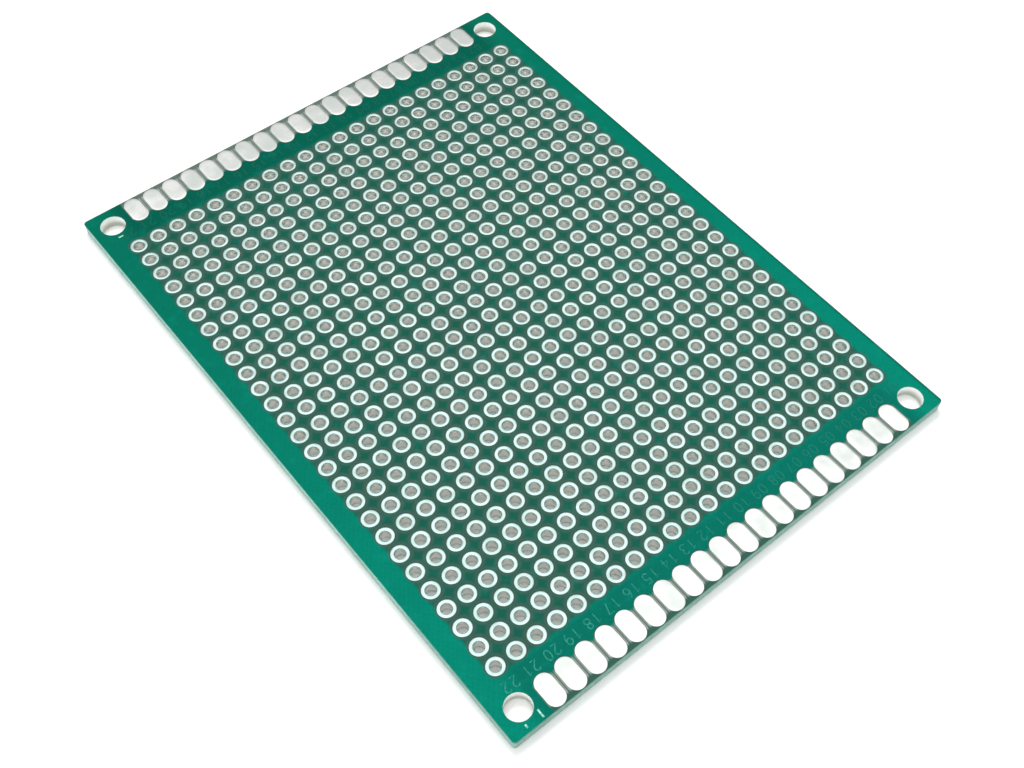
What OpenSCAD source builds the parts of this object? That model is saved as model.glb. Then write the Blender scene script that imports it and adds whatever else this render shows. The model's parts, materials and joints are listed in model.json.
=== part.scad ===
// Double-sided prototype board: a drilled glass-epoxy plate with a plated hole at
// every crossing of a square grid, a row of oblong contacts at each short end,
// a solder mask on both faces and a plain mounting hole in each corner.
// The origin is at the middle of the underside, +Y runs along the board, +Z is up.

/* [Board] */
// Width of the board, across the columns of holes
board_w = 60; // [30:1:120]
// Length of the board, between the two rows of contacts
board_l = 80; // [40:1:140]
// Finished thickness, over the pads on both faces
board_t = 1.6; // [0.8:0.1:3.2]
// Radius of the four corners
corner_r = 0.4; // [0.1:0.1:1.5]

/* [Hole grid] */
// Distance between neighbouring holes, both ways
pitch = 2.54; // [2:0.01:5.08]
// Finished diameter of a plated hole
hole_d = 1.2; // [0.6:0.05:1.4]
// Gap between the round pads of neighbouring holes
pad_gap = 0.54; // [0.3:0.02:0.9]
// Least bare margin between the outermost pads and the long edges
side_margin = 2; // [0.5:0.1:6]
// Least width of the strip between the last row of pads and the contacts
strip_w = 1.8; // [0.5:0.1:6]

/* [Metal] */
// Thickness of the copper barrel that lines a plated hole
plating_t = 0.03; // [0.02:0.005:0.06]
// Height of the copper at the rim of a pad or contact, above the plate
rim_t = 0.045; // [0.035:0.005:0.07]
// Rise of the tin from the rim to the crown of a pad or contact
crown_t = 0.025; // [0.01:0.005:0.05]
// Radius of the tin where a pad turns down into its hole
knee_r = 0.05; // [0.02:0.005:0.05]

/* [Edge contacts] */
// Gap between neighbouring contacts
contact_gap = 0.44; // [0.3:0.01:1]
// Length of the straight sides of a contact, between its round ends
contact_straight = 1.65; // [0.5:0.05:4]
// Distance from the end of a contact to the end of the board
contact_inset = 0.05; // [0.03:0.01:0.5]
// Width of the band in which the tin of a contact rolls down to its rim
contact_roll = 0.3; // [0.1:0.05:0.6]
// Least distance between a contact and the edge of the mask at a mounting hole
contact_clearance = 0.3; // [0.2:0.05:2]

/* [Solder mask] */
// Thickness of the mask on each face
mask_t = 0.025; // [0.015:0.005:0.03]
// Clearance between the mask and each pad or contact
mask_gap = 0.06; // [0.04:0.01:0.1]

/* [Mounting holes] */
// Diameter of the plain holes in the corners
mount_hole_d = 2.9; // [2:0.1:3.4]
// Distance from the middle of a mounting hole to both edges
mount_inset = 2.5; // [2:0.1:4]
// Width of a bare ring in the mask round a mounting hole, 0 where the mask is drilled with it
mount_ring_w = 0; // [0:0.02:0.4]

/* [Hidden] */
$fn = 48;
// steps in which the two arcs of a metal section are drawn
knee_steps = 2;
crown_steps = 3;

pad_t = rim_t + crown_t;
plate_t = board_t - 2 * pad_t;
drill_d = hole_d + 2 * plating_t;
pad_d = pitch - pad_gap;
contact_w = pitch - contact_gap;
contact_l = contact_straight + contact_w;

// the grid fills what the margins leave, and stands in the middle of the board
cols = floor((board_w - 2 * side_margin - pad_d) / pitch) + 1;
end_margin = contact_inset + contact_l + strip_w;
rows = floor((board_l - 2 * end_margin - pad_d) / pitch) + 1;

function col_x(c) = (c - (cols - 1) / 2) * pitch;
function row_y(r) = (r - (rows - 1) / 2) * pitch;

mount_x = board_w / 2 - mount_inset;
mount_y = board_l / 2 - mount_inset;

// a contact stands on each column that keeps clear of the mounting holes
mount_window_d = mount_hole_d + 2 * mount_ring_w;
contact_reach = mount_x - mount_window_d / 2 - contact_clearance - contact_w / 2;
contact_cols = [for (c = [0 : cols - 1]) if (abs(col_x(c)) <= contact_reach) c];
contact_y = board_l / 2 - contact_inset - contact_l / 2;

// radius of the arc that rises by height in the middle of width
function crown_radius(width, height) = (width * width / 4 + height * height) / (2 * height);

// points along an arc
function arc(centre, r, from, to, steps) =
    [for (i = [0 : steps]) centre + r * [cos(from + (to - from) * i / steps), sin(from + (to - from) * i / steps)]];

function reversed(points) = [for (i = [len(points) - 1 : -1 : 0]) points[i]];

function row_name(r) = str("plated_row_", r < 9 ? "0" : "", r + 1);

// the outline of the board, with its rounded corners
module board_outline() {
    square([board_w - 2 * corner_r, board_l], center = true);
    square([board_w, board_l - 2 * corner_r], center = true);
    for (x = [-1, 1], y = [-1, 1])
        translate([x * (board_w / 2 - corner_r), y * (board_l / 2 - corner_r)])
            circle(r = corner_r);
}

// one circle of diameter d at each crossing of the grid
module grid_circles(d) {
    for (c = [0 : cols - 1], r = [0 : rows - 1])
        translate([col_x(c), row_y(r)])
            circle(d = d);
}

// one circle of diameter d at each mounting hole
module mount_circles(d) {
    for (x = [-1, 1], y = [-1, 1])
        translate([x * mount_x, y * mount_y])
            circle(d = d);
}

// an oblong with round ends, grown by gap all round
module contact_outline(gap = 0) {
    w = contact_w + 2 * gap;
    square([w, contact_straight], center = true);
    for (y = [-1, 1])
        translate([0, y * contact_straight / 2])
            circle(d = w);
}

// moves what is drawn on top of the plate to the underside
module on_underside() {
    translate([0, 0, board_t])
        mirror([0, 0, 1])
            children();
}

// glass-epoxy plate, drilled for the plated holes and the mounting holes
module resin_plate() {
    color([0.62, 0.68, 0.52])
        translate([0, 0, pad_t])
            linear_extrude(plate_t)
                difference() {
                    board_outline();
                    grid_circles(drill_d);
                    mount_circles(mount_hole_d);
                }
}

// film of solder mask on the upper face, open at each pad, contact and mounting hole
module solder_mask() {
    color([0.02, 0.47, 0.39])
        translate([0, 0, board_t - pad_t])
            linear_extrude(mask_t)
                difference() {
                    board_outline();
                    grid_circles(pad_d + 2 * mask_gap);
                    mount_circles(mount_window_d);
                    for (c = contact_cols, y = [-1, 1])
                        translate([col_x(c), y * contact_y])
                            contact_outline(mask_gap);
                }
}

// half-section of a plated hole, radius along X: the crown and knee of the upper pad,
// the bore, the knee and crown of the lower pad, and back along the plate
module plated_hole_section() {
    knee_x = hole_d / 2 + knee_r;
    crown_w = pad_d / 2 - knee_x;
    crown_r = crown_radius(crown_w, crown_t);
    crown_half = asin(crown_w / 2 / crown_r);
    upper = concat(
        arc([knee_x + crown_w / 2, pad_t - crown_r], crown_r, 90 - crown_half, 90 + crown_half, crown_steps),
        arc([knee_x, rim_t - knee_r], knee_r, 90, 180, knee_steps)
    );
    polygon(concat(
        [for (p = upper) [p[0], board_t - pad_t + p[1]]],
        [for (p = reversed(upper)) [p[0], pad_t - p[1]]],
        [[pad_d / 2, pad_t], [drill_d / 2, pad_t]],
        [[drill_d / 2, board_t - pad_t], [pad_d / 2, board_t - pad_t]]
    ));
}

// plated hole: two crowned pads and their barrel, turned as one piece of metal
module plated_hole() {
    rotate_extrude()
        plated_hole_section();
}

// one row of plated holes across the board, row 0 at the front
module plated_row(r) {
    color([0.86, 0.87, 0.85])
        for (c = [0 : cols - 1])
            translate([col_x(c), row_y(r), 0])
                plated_hole();
}

// half-section of a contact: flat tin that rolls down to the rim
module contact_section() {
    roll_r = (contact_roll * contact_roll + crown_t * crown_t) / (2 * crown_t);
    roll_x = contact_w / 2 - contact_roll;
    polygon(concat(
        [[0, 0], [contact_w / 2, 0]],
        arc([roll_x, pad_t - roll_r], roll_r, 90 - asin(contact_roll / roll_r), 90, crown_steps),
        [[0, pad_t]]
    ));
}

// one contact: a straight bar of that section with a half-turn of it at each end
module contact() {
    for (side = [0, 1])
        mirror([side, 0, 0])
            rotate([90, 0, 0])
                linear_extrude(contact_straight, center = true)
                    contact_section();
    for (end = [0, 1])
        mirror([0, end, 0])
            translate([0, contact_straight / 2, 0])
                rotate_extrude(angle = 180)
                    contact_section();
}

// row of contacts on the upper face, at the front (end = -1) or at the back (end = 1)
module contacts(end) {
    color([0.9, 0.91, 0.89])
        for (c = contact_cols)
            translate([col_x(c), end * contact_y, board_t - pad_t])
                contact();
}

resin_plate();
solder_mask();  // solder_mask_top
on_underside() solder_mask();  // solder_mask_bottom
contacts(-1);  // contacts_front_top
on_underside() contacts(-1);  // contacts_front_bottom
contacts(1);  // contacts_back_top
on_underside() contacts(1);  // contacts_back_bottom
for (r = [0 : rows - 1])
    plated_row(r);
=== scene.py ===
import json
import math

import bpy
import numpy as np
from mathutils import Matrix, Vector
from mathutils.geometry import delaunay_2d_cdt


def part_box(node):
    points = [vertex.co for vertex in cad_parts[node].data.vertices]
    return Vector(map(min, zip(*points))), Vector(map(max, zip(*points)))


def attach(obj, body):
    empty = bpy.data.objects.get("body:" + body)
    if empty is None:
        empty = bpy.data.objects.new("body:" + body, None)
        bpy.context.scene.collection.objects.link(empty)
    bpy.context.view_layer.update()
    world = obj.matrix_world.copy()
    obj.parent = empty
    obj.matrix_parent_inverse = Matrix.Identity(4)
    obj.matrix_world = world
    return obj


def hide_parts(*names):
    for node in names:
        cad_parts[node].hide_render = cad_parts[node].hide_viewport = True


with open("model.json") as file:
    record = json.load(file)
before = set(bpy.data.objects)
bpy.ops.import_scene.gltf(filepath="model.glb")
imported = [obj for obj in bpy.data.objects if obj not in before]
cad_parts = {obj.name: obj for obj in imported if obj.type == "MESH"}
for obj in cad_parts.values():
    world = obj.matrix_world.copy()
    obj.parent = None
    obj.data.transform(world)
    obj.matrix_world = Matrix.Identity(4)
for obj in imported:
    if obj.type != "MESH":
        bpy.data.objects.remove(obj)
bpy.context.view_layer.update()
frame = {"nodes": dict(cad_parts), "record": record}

record = frame["record"]
mm = 0.001  # every shape below is worked out in millimetres
fullTurn = 2 * math.pi


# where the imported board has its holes, pads and contacts

def boxOf(node):
    low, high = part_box(node)
    return np.array(low) / mm, np.array(high) / mm


def mountPlace(name):
    mount = next(m for m in record["mounts"] if m["name"] == name)
    return np.array(mount["pos_m"]) / mm, mount["dims"]["r_mm"]


rowNodes = sorted(n for n in frame["nodes"] if n.startswith("plated_row_"))
firstHole, holeRadius = mountPlace("lead_hole_front_left")
lastHole = mountPlace("lead_hole_back_right")[0]
pitch = (lastHole[1] - firstHole[1]) / (len(rowNodes) - 1)
columnCount = round((lastHole[0] - firstHole[0]) / pitch) + 1
columnX = firstHole[0] + pitch * np.arange(columnCount)
rowY = firstHole[1] + pitch * np.arange(len(rowNodes))

plateLow, plateHigh = boxOf("resin_plate")
middleZ = (plateLow[2] + plateHigh[2]) / 2
halfThick = plateHigh[2] - middleZ
maskThick = boxOf("solder_mask_top")[1][2] - plateHigh[2]
padHeight = boxOf(rowNodes[0])[1][2] - plateHigh[2]
padRadius = boxOf(rowNodes[0])[1][0] - lastHole[0]
contactLow, contactHigh = boxOf("contacts_back_top")
cornerHole, cornerHoleRadius = mountPlace("mounting_hole_back_right")
cornerPlaces = [(side * cornerHole[0], end * cornerHole[1]) for side in (-1, 1) for end in (-1, 1)]


def contactPlaces(node):
    # the middles of the contacts across the board, half their width and the node's box
    low, high = boxOf(node)
    middles = columnX[(columnX > low[0]) & (columnX < high[0])]
    return middles, middles[0] - low[0], low, high


# outlines, as points that go round to the left

def circle(x, y, radius, steps):
    turn = np.arange(steps) * fullTurn / steps
    return np.column_stack([x + radius * np.cos(turn), y + radius * np.sin(turn)])


def oblong(x, low, high, half, endSteps, sideSteps):
    turn = np.linspace(0, np.pi, endSteps + 1)
    rise = np.linspace(low + half, high - half, sideSteps, endpoint=False)[1:]
    topEnd = np.column_stack([half * np.cos(turn), high - half + half * np.sin(turn)])
    leftSide = np.column_stack([np.full(len(rise), -half), rise[::-1]])
    bottomEnd = np.column_stack([-half * np.cos(turn), low + half - half * np.sin(turn)])
    rightSide = np.column_stack([np.full(len(rise), half), rise])
    return np.vstack([topEnd, leftSide, bottomEnd, rightSide]) + (x, 0)


def boardOutline(spacing):
    radius = plate["cornerRadius"]
    inner = plateHigh[:2] - radius
    turn = np.radians(np.linspace(0, 90, plate["cornerSteps"] + 1))
    arc = np.column_stack([np.cos(turn), np.sin(turn)]) * radius
    corners = []
    for k, sides in enumerate([(1, 1), (-1, 1), (-1, -1), (1, -1)]):
        turned = Matrix.Rotation(math.radians(90 * k), 2)
        corners.append(arc @ np.array(turned).T + inner * sides)
    points = []
    for corner, following in zip(corners, corners[1:] + corners[:1]):
        gap = following[0] - corner[-1]
        steps = round(np.linalg.norm(gap) / spacing)
        points += [corner, corner[-1] + gap * np.arange(1, steps)[:, None] / steps]
    return np.vstack(points)


def movedIn(points, amount):
    # an outline's points moved towards its inside
    along = np.roll(points, -1, 0) - np.roll(points, 1, 0)
    out = np.column_stack([along[:, 1], -along[:, 0]])
    out /= np.linalg.norm(out, axis=1)[:, None]
    return points - out * np.reshape(amount, (-1, 1))


def nearestOf(places, values):
    steps = np.round((values - places[0]) / pitch)
    return places[np.clip(steps, 0, len(places) - 1).astype(int)]


def inHoles(points, radius):
    x, y = points[:, 0], points[:, 1]
    return np.hypot(x - nearestOf(columnX, x), y - nearestOf(rowY, y)) < radius


def inCornerHoles(points, radius):
    return np.hypot(abs(points[:, 0]) - cornerHole[0], abs(points[:, 1]) - cornerHole[1]) < radius


# meshes

def ring(points, z):
    return np.column_stack([points, np.broadcast_to(z, len(points))])


def quadsBetween(upper, lower, inwards=False):
    # a band of four-sided faces between two closed rows of point numbers
    c, d = np.roll(lower, -1), np.roll(upper, -1)
    return np.column_stack([upper, d, c, lower] if inwards else [upper, lower, c, d]).tolist()


def trianglesOver(rings, isOpen, touching=1e-6, leastArea=1e-9):
    # triangles that cover the outline and leave the openings free
    points = np.vstack([r[:, :2] for r in rings])
    edges, at = [], 0
    for r in rings:
        step = np.arange(len(r))
        edges += np.column_stack([at + step, at + (step + 1) % len(r)]).tolist()
        at += len(r)
    found = delaunay_2d_cdt([Vector(p) for p in points.tolist()], edges, [], 0, touching)
    if len(found[0]) != len(points):
        raise ValueError("two outlines touch, so the face can't be filled")
    number = np.array([o[0] for o in found[3]])
    triangles = number[np.array(found[2])]
    corners = points[triangles]
    first, second = corners[:, 1] - corners[:, 0], corners[:, 2] - corners[:, 0]
    area = first[:, 0] * second[:, 1] - first[:, 1] * second[:, 0]
    triangles[area < 0] = triangles[area < 0][:, ::-1]
    return triangles[(abs(area) > leastArea) & ~isOpen(corners.mean(1))]


def plateMesh(outer, openings, isOpen):
    # a flat plate; each outline is a stack of rings from the top down
    points, faces, tops, bottoms, at = [], [], [], [], 0
    for k, stack in enumerate([outer] + openings):
        levels, count = stack.shape[:2]
        numbers = at + np.arange(levels * count).reshape(levels, count)
        for upper, lower in zip(numbers, numbers[1:]):
            faces += quadsBetween(upper, lower, inwards=k > 0)
        points.append(stack.reshape(-1, 3))
        tops.append(numbers[0])
        bottoms.append(numbers[-1])
        at += levels * count
    triangles = trianglesOver([stack[0] for stack in [outer] + openings], isOpen)
    faces += np.concatenate(tops)[triangles].tolist()
    faces += np.concatenate(bottoms)[triangles][:, ::-1].tolist()
    return np.vstack(points), faces


def makePiece(name, points, faces, finish, nodes=(), sharpAngle=32):
    mesh = bpy.data.meshes.new(name)
    mesh.from_pydata((np.asarray(points) * mm).tolist(), [], faces)
    mesh.shade_smooth()
    mesh.set_sharp_from_angle(angle=math.radians(sharpAngle))
    mesh.materials.append(finish)
    piece = bpy.data.objects.new(name, mesh)
    bpy.context.scene.collection.objects.link(piece)
    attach(piece, "root")
    if nodes:
        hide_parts(*nodes)


def waves(x, y, seed, size, terms=7, shortest=0.6, longest=1.7):
    # smooth unevenness from -1 to 1, as a sum of slanted waves about size long
    draw = np.random.default_rng(seed)
    total = 0
    for _ in range(terms):
        turn, shift = draw.uniform(0, fullTurn, 2)
        perLength = fullTurn / (size * draw.uniform(shortest, longest))
        total = total + np.sin((x * np.cos(turn) + y * np.sin(turn)) * perLength + shift)
    return np.clip(total / terms ** 0.5 / 1.4, -1, 1)


# node materials

class Wire:
    # one output socket; sums and products on it add their Math nodes
    def __init__(self, finish, socket):
        self.finish, self.socket = finish, socket

    def maths(self, operation, *values):
        return self.finish.add("ShaderNodeMath", {"operation": operation}, dict(enumerate(values)))

    def __add__(self, other):
        return self.maths("ADD", self, other)

    def __radd__(self, other):
        return self.maths("ADD", other, self)

    def __sub__(self, other):
        return self.maths("SUBTRACT", self, other)

    def __rsub__(self, other):
        return self.maths("SUBTRACT", other, self)

    def __mul__(self, other):
        return self.maths("MULTIPLY", self, other)

    def __rmul__(self, other):
        return self.maths("MULTIPLY", other, self)

    def __pow__(self, other):
        return self.maths("POWER", self, other)

    def __abs__(self):
        return self.maths("ABSOLUTE", self)

    def sine(self):
        return self.maths("SINE", self)

    def whole(self):
        return self.maths("FLOOR", self)

    def least(self, other):
        return self.maths("MINIMUM", self, other)

    def most(self, other):
        return self.maths("MAXIMUM", self, other)


class Finish:
    # a material or a world, and the nodes that make it
    def __init__(self, owner, coordinates="Object", unit=mm):
        self.owner = owner
        owner.use_nodes = True
        self.tree = owner.node_tree
        self.tree.nodes.clear()
        self.place = self.add("ShaderNodeTexCoord", output=coordinates)
        inUnits = self.add(
            "ShaderNodeVectorMath", {"operation": "SCALE"}, {0: self.place, "Scale": 1 / unit}
        )
        apart = self.add("ShaderNodeSeparateXYZ", None, {0: inUnits}).socket.node
        self.x, self.y, self.z = (Wire(self, s) for s in apart.outputs)

    def add(self, kind, settings=None, sockets=None, output=0):
        node = self.tree.nodes.new(kind)
        for key, value in (settings or {}).items():
            setattr(node, key, value)
        for key, value in (sockets or {}).items():
            if isinstance(value, Wire):
                self.tree.links.new(value.socket, node.inputs[key])
            else:
                node.inputs[key].default_value = value
        return Wire(self, node.outputs[output] if node.outputs else None)

    def noise(self, size, detail, rough, stretch=(1, 1, 1), offset=0.0):
        # size is one blotch in millimetres, and stretch makes it longer
        scale = tuple(1 / (size * mm * s) for s in stretch)
        moved = self.add(
            "ShaderNodeMapping", None,
            {"Vector": self.place, "Location": (offset,) * 3, "Scale": scale},
        )
        return self.add(
            "ShaderNodeTexNoise", None,
            {"Vector": moved, "Scale": 1.0, "Detail": detail, "Roughness": rough},
        )

    def between(self, value, low, high, toLow=0.0, toHigh=1.0):
        # value from low to high becomes toLow to toHigh, with soft ends
        return self.add(
            "ShaderNodeMapRange", {"interpolation_type": "SMOOTHSTEP"},
            {0: value, 1: low, 2: high, 3: toLow, 4: toHigh},
        )

    def past(self, value, edge, steps):
        # 0 at the first and 1 at the second of two distances past an edge
        return self.between(value, *(edge + step for step in steps))

    def mixed(self, share, first, second):
        return self.add(
            "ShaderNodeMix", {"data_type": "RGBA"},
            {0: share, 6: asColour(first), 7: asColour(second)}, output=2,
        )

    def coated(self, colour, share, coat):
        # a coat is a colour and how fully it covers where share is 1
        tone, cover = coat
        return self.mixed(share * cover, colour, tone)

    def bumped(self, height, distance):
        return self.add(
            "ShaderNodeBump", None, {"Strength": 1.0, "Distance": distance * mm, "Height": height}
        )

    def cloth(self):
        # the weave of the glass cloth under resin and lacquer
        return (self.x * (fullTurn / yarns[0])).sine() * (self.y * (fullTurn / yarns[1])).sine()

    def fromGrid(self):
        # millimetres from the axis of the nearest plated hole
        def fromNearest(value, places):
            share = (value - places[0]) * (1 / pitch) + 0.5
            nearest = share.whole().most(0).least(len(places) - 1)
            return (share - nearest - 0.5) * pitch
        return lengthOf(fromNearest(self.x, columnX), fromNearest(self.y, rowY))

    def fromCornerHole(self):
        return lengthOf(abs(self.x) - cornerHole[0], abs(self.y) - cornerHole[1])

    def principled(self, sockets):
        shader = self.add("ShaderNodeBsdfPrincipled", None, sockets)
        self.add("ShaderNodeOutputMaterial", None, {"Surface": shader})
        return self.owner


def newFinish(name):
    return Finish(bpy.data.materials.new(name))


def lengthOf(x, y):
    return (x * x + y * y) ** 0.5


def asColour(colour):
    return colour if isinstance(colour, Wire) else (*colour, 1.0)


def screen(red, green, blue):
    # a colour given as 0 to 255 on a screen, in the shader's own scale
    def turned(value):
        share = value / 255
        return share / 12.92 if share <= 0.04045 else ((share + 0.055) / 1.055) ** 2.4
    return tuple(turned(v) for v in (red, green, blue))


# the glass-epoxy plate: rough cut edges, drilled walls

yarns = (0.62, 0.78)              # spacing of the glass cloth's yarns, across and along the board
plate = {
    "cornerRadius": 0.4,
    "cornerSteps": 6,
    "edgeSpacing": 0.35,          # between the points along the cut edge
    "edgeLevels": 8,
    "edgeRoughness": 0.03,        # how far the cut edge wanders inwards
    "edgeWaves": (2.2, 0.9),      # length of its slow and quick waves
    "barrelThick": 0.03,          # the drilled hole is this much wider than the lead hole
    "drilledSteps": 16,
    "cornerHoleSteps": 56,
    "cornerHoleLevels": 6,
    "cornerHoleRoughness": 0.012,
    "cornerHoleWaves": 1.4,
    # size of a blotch, detail, roughness, stretch and offset of each noise
    "grain": (0.35, 4, 0.6, (1, 1, 0.5)),
    "strands": (0.5, 2, 0.5, (1.6, 1.6, 0.22), 3.1),
    "blotch": (4.0, 2, 0.5),
    "blotchCover": 0.35,
    "resin": (screen(140, 190, 178), screen(192, 220, 210)),
    "fibre": screen(104, 152, 139),
    "layerThick": 0.19,           # of one ply of cloth in the cut edge
    "layerWander": 0.12,
    "stain": screen(52, 118, 98),     # lacquer smeared over the top of the cut edge
    "stainDepth": (-0.65, -0.1),      # past the upper face
    "stainCover": (0.12, 0.75),       # at the first and the second of them
    "stainEnds": (-0.25, -0.12),      # past the end of the board, where the smear is
    "stainCorner": 0.6,               # how far it goes round the near left corner
    "holeWall": (screen(248, 253, 250), screen(176, 170, 162)),   # at the top and at the bottom: painted shade, the wall darker towards the bottom of a corner hole
    "wallReach": (0.3, 0.1),          # past a corner hole
    "wallDepth": (-0.3, 0.2),         # where the painted shade of the wall starts and ends, from the upper face and from the lower one
    "wallCover": 0.9,
    "bareFace": (screen(52, 66, 56), screen(70, 88, 72)),         # laminate that shows round the pads, painted dark as the shade in that narrow gap
    "faceDepth": (-0.004, -0.001),
    "roughness": (0.55, 0.85),
    "bump": 0.03,
}


def plateFinish():
    f = newFinish("glassEpoxy")
    grain = f.noise(*plate["grain"])
    strands = f.noise(*plate["strands"])
    blotch = f.noise(*plate["blotch"])
    wander = f.z + (strands - 0.5) * plate["layerWander"]
    layers = (wander * (fullTurn / plate["layerThick"])).sine() * 0.5 + 0.5
    cut = f.mixed(f.between(grain, 0.35, 0.7), *plate["resin"])
    cut = f.mixed(layers * f.between(strands, 0.35, 0.65), cut, plate["fibre"])
    cut = f.mixed(f.between(blotch, 0.3, 0.75) * plate["blotchCover"], cut, plate["fibre"])

    low, high = (plateHigh[2] + step for step in plate["stainDepth"])
    stain = f.between(f.z + (strands - 0.5) * 0.5, low, high, *plate["stainCover"])
    atEnds = f.past(abs(f.y), plateHigh[1], plate["stainEnds"])
    corner = -cornerHole[0] - cornerHole[1]
    nearCorner = f.past(f.x + f.y, corner, (plate["stainCorner"] * cornerHole[0], 0))
    cut = f.mixed(stain * atEnds.most(nearCorner), cut, plate["stain"])

    # corner hole walls: painted shade, pale at the top and darker down the wall
    wall = f.past(f.fromCornerHole(), cornerHoleRadius, plate["wallReach"])
    fromTop, fromUnder = plate["wallDepth"]
    depthShading = f.between(f.z, plateHigh[2] + fromTop, plateLow[2] + fromUnder)
    cut = f.mixed(wall * plate["wallCover"], cut, f.mixed(depthShading, *plate["holeWall"]))

    # the bare laminate in the gaps round the pads is painted dark: painted shade
    face = f.mixed(f.between(f.cloth() + (grain - 0.5), -0.6, 0.8), *plate["bareFace"])
    flat = f.past(abs(f.z - middleZ), halfThick, plate["faceDepth"])
    height = grain * 0.5 + layers * 0.3 + strands * 0.4
    return f.principled({
        "Base Color": f.mixed(flat, cut, face),
        "Roughness": f.between(grain, 0.3, 0.7, *plate["roughness"]),
        "Normal": f.bumped(height, plate["bump"]),
        "Specular IOR Level": 0.3,
    })


def wallLevels(count):
    # heights down the plate, and how rough its wall is there: both faces keep a clean outline
    for share in np.linspace(0, 1, count):
        yield plateHigh[2] + (plateLow[2] - plateHigh[2]) * share, min(1.0, 6 * share * (1 - share))


def makePlate():
    outline = boardOutline(plate["edgeSpacing"])
    along = np.concatenate([[0], np.cumsum(np.linalg.norm(np.diff(outline, axis=0), axis=1))])
    slow, quick = plate["edgeWaves"]
    outer = []
    for z, rough in wallLevels(plate["edgeLevels"]):
        wander = waves(along, 3 * z, 5, slow) * 0.6 + waves(along, 7 * z, 6, quick) * 0.4
        outer.append(ring(movedIn(outline, plate["edgeRoughness"] * rough * (0.5 + 0.5 * wander)), z))
    openings = []
    drilled = holeRadius + plate["barrelThick"]
    snug = drilled / math.cos(math.pi / plate["drilledSteps"])  # so that its flats stay outside the barrel
    for y in rowY:
        for x in columnX:
            hole = circle(x, y, snug, plate["drilledSteps"])
            openings.append(np.stack([ring(hole, plateHigh[2]), ring(hole, plateLow[2])]))
    for x, y in cornerPlaces:
        hole = circle(x, y, cornerHoleRadius, plate["cornerHoleSteps"])
        stack = []
        for z, rough in wallLevels(plate["cornerHoleLevels"]):
            wander = waves(hole[:, 0] * 3, hole[:, 1] * 3 + z * 4, 8, plate["cornerHoleWaves"])
            worn = movedIn(hole, -plate["cornerHoleRoughness"] * rough * (0.5 + 0.5 * wander))
            stack.append(ring(worn, z))
        openings.append(np.stack(stack))
    points, faces = plateMesh(
        np.stack(outer), openings,
        lambda p: inHoles(p, drilled) | inCornerHoles(p, cornerHoleRadius),
    )
    makePiece("glassPlate", points, faces, plateFinish(), ["resin_plate"])


# the two films of green lacquer

mask = {
    "padGap": 0.06,               # between a pad or contact and the lacquer
    "edgeSoftness": 0.008,
    "edgeSpacing": 2.0,
    "windowSteps": 32,
    "endSteps": 14,
    "sideSteps": 4,
    "endStrip": 0.015,            # lacquer left past the outer end of a contact
    "fineNoise": (0.28, 3, 0.6),
    "cloudNoise": (9.0, 3, 0.5),
    "streakNoise": (1.6, 3, 0.6, (1, 1, 1), 2.0),
    "open": (screen(0, 133, 112), screen(0, 109, 88)),    # at the front and the back of the board: painted shade, darker towards the back where the light falls off
    # coats over it, each with how fully it covers
    "strip": ((screen(4, 105, 91), screen(0, 80, 65)), 0.8),      # between grid and contacts, with painted shade darker at the back where the light falls off
    "stripFrom": (0.4, 1.6),                                      # past the last row
    "stripSides": (1.2, -1.4),                                    # past the last column
    "crowded": (screen(28, 81, 67), 0.9),                         # between the pads: painted shade, darker where the copper pads keep light out
    "crowdedFrom": (1.2, 0.6),                                    # past the last row and column
    "shade": (screen(74, 94, 86), 0.8),                           # close round each pad
    "shadeFrom": (0.2, 0.1),                                      # past the pad's rim
    "shadeWider": 0.35,                                           # where the pads crowd
    "grain": (screen(0, 90, 72), 0.26),
    "rim": (screen(0, 84, 62), 0.7),                              # along the right edge
    "rimFrom": (-0.4, -0.1),
    "streak": (screen(8, 160, 140), 0.2),
    "cloud": (screen(0, 96, 80), 0.16),
    "web": (screen(92, 110, 102), screen(222, 225, 219)),         # middle and sides of a contact gap; the near-white sides are painted glare of the bright contacts
    "webFrom": (0.05, 0.2),                                       # past the middle of the gap
    "webEnds": (0.5, 1.1),                                        # past the contacts' inner ends
    "webSides": (0.15, -0.1),                                     # past the outermost contacts
    "webCover": 0.9,
    "notch": (screen(56, 90, 80), screen(96, 112, 103)),          # where it opens, front and back
    "notchFrom": (-0.9, -0.4),                                    # past the contacts' outer ends
    "roughness": (0.24, 0.4),
    "bump": 0.012,
}


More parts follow.
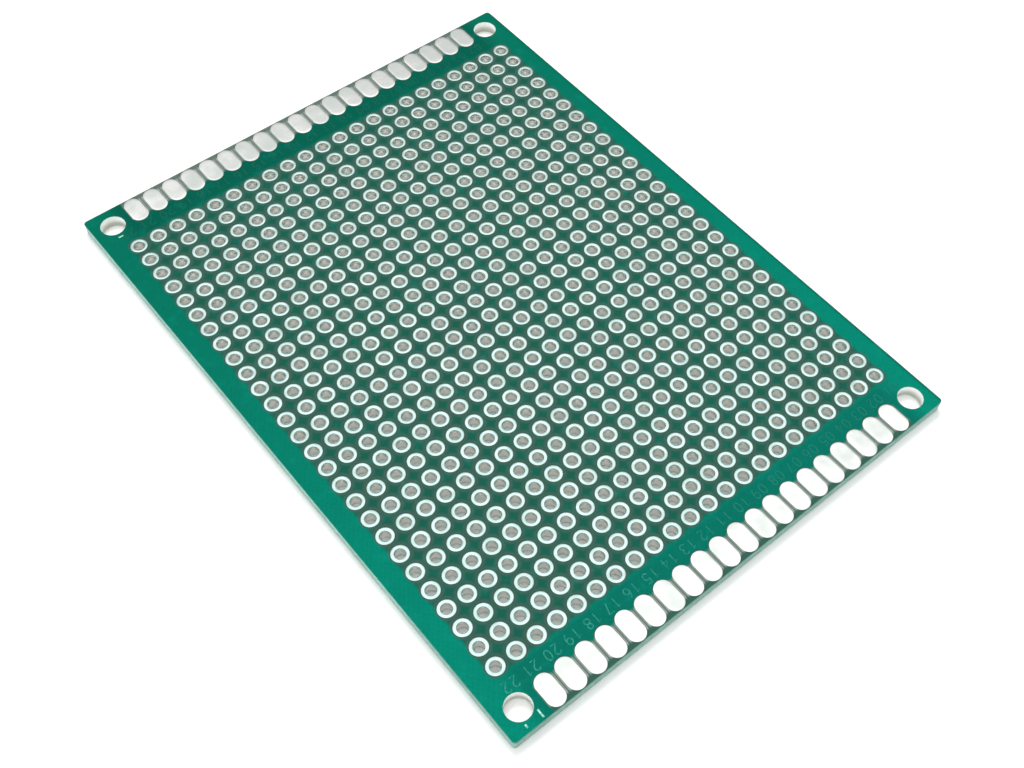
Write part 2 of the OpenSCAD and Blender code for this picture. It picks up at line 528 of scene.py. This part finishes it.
def maskFinish():
    f = newFinish("greenLacquer")
    fine = f.noise(*mask["fineNoise"])
    cloud = f.noise(*mask["cloudNoise"])
    streak = f.noise(*mask["streakNoise"])
    weave = f.cloth()
    fromMiddle, fromCentreLine = abs(f.y), abs(f.x)
    along = f.between(f.y, -plateHigh[1], plateHigh[1])

    def byEnd(pair):
        return f.mixed(along, *pair)

    # the open lacquer and the strip are painted darker towards the back of the board: painted shade of the
    # light falling off
    colour = byEnd(mask["open"])
    strip = f.past(fromMiddle, rowY[-1], mask["stripFrom"])
    strip = strip * f.past(fromCentreLine, columnX[-1], mask["stripSides"])
    colour = f.coated(colour, strip, (byEnd(mask["strip"][0]), mask["strip"][1]))
    # painted shade between the pads, where the copper blocks light through the lacquer and board
    crowded = f.past(fromCentreLine, columnX[-1], mask["crowdedFrom"])
    crowded = crowded * f.past(fromMiddle, rowY[-1], mask["crowdedFrom"])
    colour = f.coated(colour, crowded, mask["crowded"])
    farShade, nearShade = (padRadius + step for step in mask["shadeFrom"])
    shade = f.between(f.fromGrid(), farShade + crowded * mask["shadeWider"], nearShade)
    colour = f.coated(colour, shade, mask["shade"])
    colour = f.coated(colour, f.between(weave + (fine - 0.5) * 6, -1.5, 1.5), mask["grain"])
    colour = f.coated(colour, f.past(f.x, plateHigh[0], mask["rimFrom"]), mask["rim"])
    colour = f.coated(colour, f.between(streak, 0.5, 0.8), mask["streak"])
    colour = f.coated(colour, f.between(cloud, 0.3, 0.7), mask["cloud"])

    inGap = f.past(fromMiddle, contactLow[1], mask["webEnds"])
    inGap = inGap * f.past(f.x, contactHigh[0], mask["webSides"])
    inGap = inGap * f.past(-1 * f.x, -contactLow[0], mask["webSides"])
    columns = (f.x - columnX[0]) * (1 / pitch)
    fromGapMiddle = abs(columns - columns.whole() - 0.5) * pitch
    # the gaps between contacts: a dark middle, with near-white sides painted as glare of the bright
    # contacts
    web = f.mixed(f.past(fromGapMiddle, 0, mask["webFrom"]), *mask["web"])
    notch = f.past(fromMiddle, contactHigh[1], mask["notchFrom"])
    colour = f.coated(colour, inGap, (f.mixed(notch, web, byEnd(mask["notch"])), mask["webCover"]))
    return f.principled({
        "Base Color": colour,
        "Roughness": f.between(fine + weave * 0.15, 0.3, 0.75, *mask["roughness"]),
        "Normal": f.bumped(weave * 0.3 + fine * 0.35 + streak * 0.5, mask["bump"]),
        "Specular IOR Level": 0.03,
    })


def makeMask(name, node, finish, up):
    back = plateHigh[2] if up > 0 else plateLow[2]
    face = back + up * maskThick
    gap, soft = mask["padGap"], mask["edgeSoftness"]

    def stacked(outline, grow):
        # the film's edge: a soft shoulder, then straight down to the plate
        shoulder = movedIn(outline, -soft * grow)
        rings = [ring(shoulder, face), ring(outline, face - up * soft), ring(outline, back)]
        return np.stack(rings if up > 0 else rings[::-1])

    outer = stacked(boardOutline(mask["edgeSpacing"]), -1)
    openings = [
        stacked(circle(x, y, padRadius + gap, mask["windowSteps"]), 1)
        for y in rowY for x in columnX
    ]
    windows = []
    limit = plateHigh[1] - mask["endStrip"]
    for end in ("front", "back"):
        middles, half, low, high = contactPlaces(f"contacts_{end}_top")
        windows += [(x, low[1] - gap, high[1] + gap, half + gap) for x in middles]
    for window in windows:
        stack = stacked(oblong(*window, mask["endSteps"], mask["sideSteps"]), 1)
        stack[:, :, 1] = np.clip(stack[:, :, 1], -limit, limit)
        openings.append(stack)
    for x, y in cornerPlaces:
        openings.append(stacked(circle(x, y, cornerHoleRadius, plate["cornerHoleSteps"]), 1))

    def isOpen(p):
        found = inHoles(p, padRadius + gap) | inCornerHoles(p, cornerHoleRadius)
        for x, low, high, half in windows:
            nearest = np.clip(p[:, 1], low + half, high - half)
            found |= np.hypot(p[:, 0] - x, p[:, 1] - nearest) < half
        return found

    points, faces = plateMesh(outer, openings, isOpen)
    makePiece(name, points, faces, finish, [node])


# the plated holes: tinned pads on both faces and the barrel between them

tin = {
    "fineNoise": (0.12, 3, 0.6),
    "spots": (screen(170, 176, 172), 0.25),
    "roughness": (0.22, 0.42),
    "bump": 0.012,
}
pad = {
    "steps": 28,
    "rimHeight": 0.045,
    "kneeRadius": 0.05,
    "kneeTurns": (180, 135, 90),
    "crownShares": (0.3, 0.7),    # across the tin, where its crown has a ring of points
    "rimRound": ((0.012, 0.001), (0.0, 0.014)),   # in and down from the corner of the rim
    "unevenness": 0.3,            # how much lower the flattest tin stands than the fullest
    "lean": 0.006,                # how far the tin piles up to one side
    "tin": (screen(220, 246, 242), screen(204, 234, 229)),
    "patchNoise": (1.3, 3, 0.55, (1, 1, 1), 1.0),
    "bore": (screen(222, 218, 211), screen(250, 246, 241)),       # in the upper and the lower part: painted light and shade, darker near the top and lighter deeper down
    "boreRoughness": 0.16,
    "boreDepth": (-0.2, -0.9),
    "boreStart": (0.0, -0.3),     # past both faces of the plate
}


def tinFinish(name, piece):
    f = newFinish(name)
    fine = f.noise(*tin["fineNoise"])
    patch = f.noise(*piece["patchNoise"])
    colour = f.mixed(f.between(patch, 0.3, 0.7), *piece["tin"])
    colour = f.coated(colour, f.between(fine, 0.62, 0.8), tin["spots"])
    roughness = f.between(patch + (fine - 0.5) * 0.4, 0.3, 0.75, *tin["roughness"])
    # inside the bore the tin is painted by depth: painted shade near the top, painted light from below
    # further down
    if "bore" in piece:
        inside = f.past(abs(f.z - middleZ), halfThick, piece["boreStart"])
        depthShading = f.past(f.z, plateHigh[2], piece["boreDepth"])
        colour = f.mixed(inside, colour, f.mixed(depthShading, *piece["bore"]))
        roughness = roughness * (1 - inside) + inside * piece["boreRoughness"]
    return f.principled({
        "Base Color": colour, "Metallic": 1.0, "Roughness": roughness,
        "Normal": f.bumped(patch + fine * 0.3, tin["bump"]),
    })


def padProfile():
    # (radius, height over the plate, share of the crown) from the bore to the foot of the rim
    rim, knee = pad["rimHeight"], pad["kneeRadius"]
    start = holeRadius + knee
    profile = []
    for turn in np.radians(pad["kneeTurns"]):
        profile.append((start + knee * math.cos(turn), rim - knee + knee * math.sin(turn), 0.0))
    for share in pad["crownShares"]:
        full = 4 * share * (1 - share)
        profile.append((start + (padRadius - start) * share, rim + (padHeight - rim) * full, full))
    for inwards, down in pad["rimRound"]:
        profile.append((padRadius - inwards, rim - down, 0.0))
    profile.append((padRadius, 0.0, 0.0))
    return np.array(profile)


def makeRow(number, node, y, finish):
    draw = np.random.default_rng(100 + number)
    radius, height, crown = padProfile().T[:, :, None]
    turn = np.arange(pad["steps"]) * fullTurn / pad["steps"]
    barrel = holeRadius + plate["barrelThick"]
    points, faces, at = [], [], 0
    for x in columnX:
        sides = []
        for up in (1, -1):
            flatter, leanTo = draw.uniform(0, pad["unevenness"]), draw.uniform(0, fullTurn)
            lean = draw.uniform(0, pad["lean"]) * (1 - np.cos(turn - leanTo))
            rise = height - crown * (flatter * (padHeight - pad["rimHeight"]) + lean)
            z = plateHigh[2] + rise if up > 0 else plateLow[2] - rise
            sides.append(np.stack([x + radius * np.cos(turn), y + radius * np.sin(turn), z], axis=2))
        outside = [ring(circle(x, y, barrel, pad["steps"]), z) for z in (plateHigh[2], plateLow[2])]
        # down from the upper foot along the barrel, then up through the bore
        loop = np.concatenate([sides[0], outside, sides[1][::-1]])
        numbers = at + np.arange(loop.shape[0] * loop.shape[1]).reshape(loop.shape[:2])
        for upper, lower in zip(numbers, np.roll(numbers, -1, 0)):
            faces += quadsBetween(upper, lower)
        points.append(loop.reshape(-1, 3))
        at += numbers.size
    name = "platedRow" + node[-2:]
    makePiece(name, np.vstack(points), faces, finish, [node], sharpAngle=50)


# the oblong contacts along both ends

contact = {
    "endSteps": 16,
    "sideSteps": 5,
    "profile": (                  # distance in from the outline, share of the full height
        (0.0, 0.0), (0.0, 0.52), (0.012, 0.66), (0.05, 0.76), (0.12, 0.89),
        (0.2, 0.96), (0.3, 1.0), (0.55, 1.0), (0.8, 1.0), (1.0, 1.0),
    ),
    "dip": 0.006,                 # unevenness of the levelled tin
    "dipFrom": 0.3,               # distance in from the outline where it is full
    "dipWaves": 1.8,
    "tin": (screen(250, 251, 248), screen(234, 241, 236)),
    "patchNoise": (2.4, 3, 0.55, (1, 1, 1), 1.0),
}


def makeContacts(name, node, finish, up):
    middles, half, low, high = contactPlaces(node)
    foot = plateHigh[2] if up > 0 else plateLow[2]
    full = high[2] - low[2]
    steps = contact["endSteps"], contact["sideSteps"]
    points, faces, at = [], [], 0
    for x in middles:
        rings = []
        for inset, share in contact["profile"]:
            outline = oblong(x, low[1] + inset, high[1] - inset, half - inset, *steps)
            uneven = 0.5 + 0.5 * waves(outline[:, 0], outline[:, 1], 21, contact["dipWaves"])
            dip = contact["dip"] * min(1, inset / contact["dipFrom"]) * uneven
            rings.append(ring(outline, foot + up * (full * share - dip)))
        count = len(rings[0])
        numbers = at + np.arange(len(rings) * count).reshape(-1, count)
        for lower, upper in zip(numbers, numbers[1:]):
            faces += quadsBetween(upper, lower, inwards=up < 0)
        faces.append(numbers[-1].tolist()[::up])
        faces.append(numbers[0].tolist()[::-up])
        points.append(np.vstack(rings))
        at += numbers.size
    makePiece(name, np.vstack(points), faces, finish, [node], sharpAngle=50)


# printed column numbers and corner ticks

ink = {
    "digitHigh": 1.15,
    "digitWide": 0.62,
    "digitStep": 1.0,
    "line": 0.15,
    "thick": 0.012,
    "sunk": 0.002,                # into the lacquer
    "section": ((-0.5, 0.0), (-0.34, 0.8), (0.0, 1.0), (0.34, 0.8), (0.5, 0.0)),
    "offContacts": 0.85,          # from a row of contacts to the middle of its numbers
    "tickLine": 0.2,
    "ticks": (                    # side and end of the board, and both ends of the tick from the hole there
        (-1, -1, (1.23, -1.3), (1.23, -2.25)),
        (-1, -1, (-0.57, -1.7), (-0.57, -2.1)),
        (-1, 1, (-0.4, -2.0), (0.2, -2.0)),
    ),
    # full, worn, and faded towards the right of the board
    "front": (screen(50, 148, 130), screen(20, 122, 106), screen(5, 107, 93)),
    "back": (screen(14, 94, 78), screen(6, 87, 71), screen(2, 84, 69)),
    "tick": (screen(190, 240, 225), screen(100, 190, 170), screen(60, 160, 140)),
    "wearNoise": (0.25, 3, 0.6),
    "fade": (-22, 12),            # across the board, from strong to faded
    "fadeCover": 0.85,
    "roughness": (0.45, 0.65),
    "bump": 0.006,
}


def arcOf(cx, cy, rx, ry, fromAngle, toAngle, steps):
    turn = np.radians(np.linspace(fromAngle, toAngle, steps))
    return [(cx + rx * math.cos(a), cy + ry * math.sin(a)) for a in turn]


# each digit in a box one wide and one high
digitLines = {
    "0": [arcOf(0.5, 0.5, 0.5, 0.5, 90, 450, 21)],
    "1": [[(0.15, 0.78), (0.55, 1.0), (0.55, 0.0)]],
    "2": [arcOf(0.5, 0.72, 0.48, 0.28, 165, -30, 11) + [(0.02, 0.0), (1.0, 0.0)]],
    "3": [arcOf(0.46, 0.76, 0.44, 0.24, 150, -80, 10) + arcOf(0.46, 0.27, 0.5, 0.27, 80, -150, 10)],
    "4": [[(0.72, 0.0), (0.72, 1.0), (0.0, 0.3), (1.0, 0.3)]],
    "5": [[(0.92, 1.0), (0.12, 1.0), (0.08, 0.55)] + arcOf(0.47, 0.32, 0.5, 0.32, 130, -150, 12)],
    "6": [arcOf(0.62, 0.42, 0.6, 0.58, 100, 180, 7) + arcOf(0.5, 0.3, 0.48, 0.3, 180, 540, 15)],
    "7": [[(0.0, 1.0), (1.0, 1.0), (0.35, 0.0)]],
    "8": [arcOf(0.5, 0.75, 0.4, 0.25, -90, 270, 15) + arcOf(0.5, 0.25, 0.5, 0.25, 90, -270, 17)[1:]],
    "9": [arcOf(0.5, 0.7, 0.48, 0.3, 0, 360, 15) + arcOf(0.38, 0.58, 0.6, 0.58, 0, -80, 7)],
}


def inkBead(line, wide, z):
    # a drawn line as a flat bead of ink: a closed tube with a low crown
    line = np.array(line)
    along = np.gradient(line, axis=0)
    along /= np.linalg.norm(along, axis=1)[:, None]
    across = np.column_stack([-along[:, 1], along[:, 0]])
    rings = [ring(line + across * (wide * u), z + ink["thick"] * v) for u, v in ink["section"]]
    stack = np.stack(rings, axis=1)
    numbers = np.arange(stack.shape[0] * stack.shape[1]).reshape(stack.shape[:2])
    faces = []
    for a, b in zip(numbers, numbers[1:]):
        faces += quadsBetween(a, b)
    faces += [numbers[0].tolist(), numbers[-1].tolist()[::-1]]
    return stack.reshape(-1, 3), faces


def inkFinish(name, use):
    f = newFinish(name)
    full, worn, faded = ink[use]
    wear = f.noise(*ink["wearNoise"])
    colour = f.mixed(f.between(wear, 0.38, 0.62), full, worn)
    colour = f.mixed(f.between(f.x, *ink["fade"]) * ink["fadeCover"], colour, faded)
    return f.principled({
        "Base Color": colour, "Roughness": f.between(wear, 0.3, 0.7, *ink["roughness"]),
        "Normal": f.bumped(wear, ink["bump"]), "Specular IOR Level": 0.2,
    })


def makeInk(name, lines, finish, wide):
    z = plateHigh[2] + maskThick - ink["sunk"]
    points, faces, at = [], [], 0
    for line in lines:
        beadPoints, beadFaces = inkBead(line, wide, z)
        faces += [[at + i for i in face] for face in beadFaces]
        points.append(beadPoints)
        at += len(beadPoints)
    makePiece(name, np.vstack(points), faces, finish, sharpAngle=60)


def numberLines(end):
    # one two-digit number for each column, to be read from the far end
    y = end * (contactLow[1] - ink["offContacts"])
    size = np.array([ink["digitWide"], ink["digitHigh"]])
    lines = []
    for k, x in enumerate(columnX):
        for place, digit in enumerate(f"{columnCount - k:02d}"):
            middle = ((place - 0.5) * ink["digitStep"], 0)
            for line in digitLines[digit]:
                lines.append(np.array([x, y]) - (np.array(line) * size - size / 2 + middle))
    return lines


# building the board

print("board: materials")
tinPads = tinFinish("tinPads", pad)
tinContacts = tinFinish("tinContacts", contact)
lacquer = maskFinish()

print("board: plate and lacquer")
makePlate()
makeMask("lacquerTop", "solder_mask_top", lacquer, 1)
makeMask("lacquerBottom", "solder_mask_bottom", lacquer, -1)

print("board: plated holes")
for number, (node, y) in enumerate(zip(rowNodes, rowY)):
    makeRow(number, node, y, tinPads)

print("board: edge contacts")
for end in ("front", "back"):
    for side, up in (("top", 1), ("bottom", -1)):
        name = "contacts" + end.capitalize() + side.capitalize()
        makeContacts(name, f"contacts_{end}_{side}", tinContacts, up)

print("board: printed numbers")
makeInk("columnNumbersFront", numberLines(-1), inkFinish("frontInk", "front"), ink["line"])
makeInk("columnNumbersBack", numberLines(1), inkFinish("backInk", "back"), ink["line"])
ticks = [
    np.linspace(start, stop, 4) + cornerHole[:2] * (side, end)
    for side, end, start, stop in ink["ticks"]
]
makeInk("cornerTicks", ticks, inkFinish("tickInk", "tick"), ink["tickLine"])


# floor, light and camera, in metres

studio = {
    "floor": ((0.985, 0.985, 0.98), (0.9702, 0.9702, 0.9653)),
    "floorNoise": (60, 2, 0.5),
    "floorReach": 3.0,
    "floorDrop": 2e-5,            # under the board, so that the two don't flicker
    "floorGlow": 0.035,           # a little light of its own, as a light table has
    "fill": 0.6,                  # the same under the board, for the lacquer of its lower side
    "tinFill": 0.12,              # and for the tin there, apart from the walls of its holes
    "cap": 1.27,                  # the soft box overhead, a little to the back
    "capPlace": (0.04, 0.06, 0.997),
    "capEdge": (0.62, 0.84),
    "horizon": {"back": 0.19, "left": 1.3, "front": 0.55, "right": 0.32},
    "horizonTurn": 0.8,           # how far to a side its own brightness is full
    "horizonBlend": 0.5,
    "key": 1.35,
    "keyPlace": (0.13, 0.24, 0.534),
    "keySize": 0.2,
}
view = {
    "place": (-0.0553, -0.0707, 0.1196),
    "right": (0.7646, -0.6436, 0.0341),
    "up": (0.5193, 0.6466, 0.5588),
    "back": (-0.3817, -0.4096, 0.8286),
    "focal": 46.09,
    "sensor": 36.0,
    "shift": -0.0496,
    "clip": (0.01, 10),
}


def floorFinish():
    # seen from below the floor is clear, so that the underside can be looked at
    f = newFinish("lightTable")
    tone = f.noise(*studio["floorNoise"])
    under = f.past(abs(f.x), plateHigh[0], (0, -1)) * f.past(abs(f.y), plateHigh[1], (0, -1))
    scattered = f.add("ShaderNodeLightPath", output="Is Diffuse Ray")
    mirrored = f.add("ShaderNodeLightPath", output="Is Glossy Ray")
    besideHoles = f.past(f.fromGrid(), holeRadius, (0.1, 0.2))
    fill = under * (scattered * studio["fill"] + mirrored * besideHoles * studio["tinFill"])
    solid = f.add("ShaderNodeBsdfPrincipled", None, {
        "Base Color": f.mixed(f.between(tone, 0.3, 0.7), *studio["floor"]),
        "Roughness": 0.9, "Specular IOR Level": 0.0,
        "Emission Color": f.mixed(fill.least(1), (studio["floorGlow"],) * 3, (1, 1, 1)),
        "Emission Strength": 1.0,
    })
    clear = f.add("ShaderNodeBsdfTransparent")
    behind = f.add("ShaderNodeNewGeometry", output="Backfacing")
    shown = f.add("ShaderNodeMixShader", None, {0: behind, 1: solid, 2: clear})
    f.add("ShaderNodeOutputMaterial", None, {"Surface": shown})
    return f.owner


def softSky():
    # bright overhead, with sides of their own brightness
    f = Finish(bpy.data.worlds.new("softSky"), "Generated", 1)
    sides, turn, blend = studio["horizon"], studio["horizonTurn"], studio["horizonBlend"]
    sideways = f.between(f.x, -turn, turn, sides["left"], sides["right"])
    lengthways = f.between(f.y, -turn, turn, sides["front"], sides["back"])
    share = f.between(abs(f.y) - abs(f.x), -blend, blend)
    low = sideways * (1 - share) + lengthways * share
    capX, capY, capZ = studio["capPlace"]
    high = f.between(f.x * capX + f.y * capY + f.z * capZ, *studio["capEdge"])
    level = low * (1 - high) + high * studio["cap"]
    sky = f.add("ShaderNodeBackground", None, {"Color": (1, 1, 1, 1), "Strength": level})
    f.add("ShaderNodeOutputWorld", None, {"Surface": sky})
    return f.owner


print("studio: floor, light and camera")
scene = bpy.context.scene
scene.view_settings.view_transform = "Standard"
scene.world = softSky()

floorMesh = bpy.data.meshes.new("studioFloor")
reach = studio["floorReach"]
corners = [(-reach, -reach), (reach, -reach), (reach, reach), (-reach, reach)]
floorMesh.from_pydata([(x, y, -studio["floorDrop"]) for x, y in corners], [], [(0, 1, 2, 3)])
floorMesh.materials.append(floorFinish())
floor = bpy.data.objects.new("studioFloor", floorMesh)
scene.collection.objects.link(floor)

keyLight = bpy.data.lights.new("softKey", "AREA")
keyLight.energy = studio["key"]
keyLight.size = studio["keySize"]
key = bpy.data.objects.new("softKey", keyLight)
key.location = studio["keyPlace"]
key.rotation_mode = "QUATERNION"
key.rotation_quaternion = (-Vector(studio["keyPlace"])).to_track_quat("-Z", "Y")
key.visible_glossy = False
scene.collection.objects.link(key)

camera = bpy.data.objects.new("camera", bpy.data.cameras.new("camera"))
camera.data.lens = view["focal"]
camera.data.sensor_width = view["sensor"]
camera.data.shift_x = view["shift"]
camera.data.clip_start, camera.data.clip_end = view["clip"]
turned = Matrix((view["right"], view["up"], view["back"])).transposed().to_quaternion()
camera.matrix_world = Matrix.LocRotScale(Vector(view["place"]), turned, None)
scene.collection.objects.link(camera)
scene.camera = camera

bpy.context.view_layer.update()
print("board: done")
